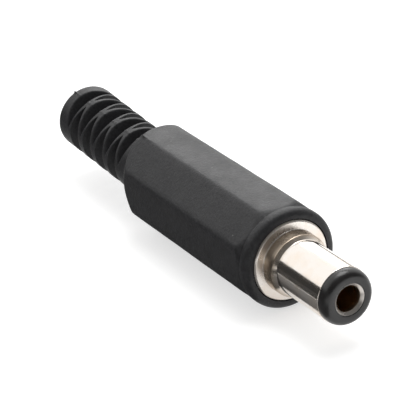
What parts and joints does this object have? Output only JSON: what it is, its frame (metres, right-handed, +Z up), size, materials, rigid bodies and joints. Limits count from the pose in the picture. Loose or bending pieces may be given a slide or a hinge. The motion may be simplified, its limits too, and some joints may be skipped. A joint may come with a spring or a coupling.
{
  "type": "dc barrel plug",
  "caption": "Cable-mounted DC barrel plug with a black octagonal screwed cover and a notched strain relief.",
  "frame": {"origin": "centre of the flange's front face, where the plug stops against its jack", "axes": "+X along the plug's axis, towards its tip; +Z up, square to the grip's top flat"},
  "size_m": [0.0494, 0.0098, 0.0098],
  "materials": {
    "cover_plastic": "matte moulded, fine grain",
    "tip_plastic": "glossy moulded",
    "nickel_plate": "turned brass, bright nickel plate",
    "tinned_sheet": "stamped brass, tin plate",
    "washer_board": "phenolic board"
  },
  "bodies": {
    "cover_body": {"cover": "cover_plastic"},
    "contacts": {"sleeve_contact": "nickel_plate", "tip_insulator": "tip_plastic", "centre_contact": "nickel_plate", "rear_washer": "washer_board", "centre_tag": "tinned_sheet", "sleeve_tag": "tinned_sheet"}
  },
  "joints": [
    {"name": "cover_draw_off", "type": "slide", "parent": "contacts", "child": "cover_body", "axis": [-1, 0, 0], "range_m": [0, 0.024]}
  ]
}
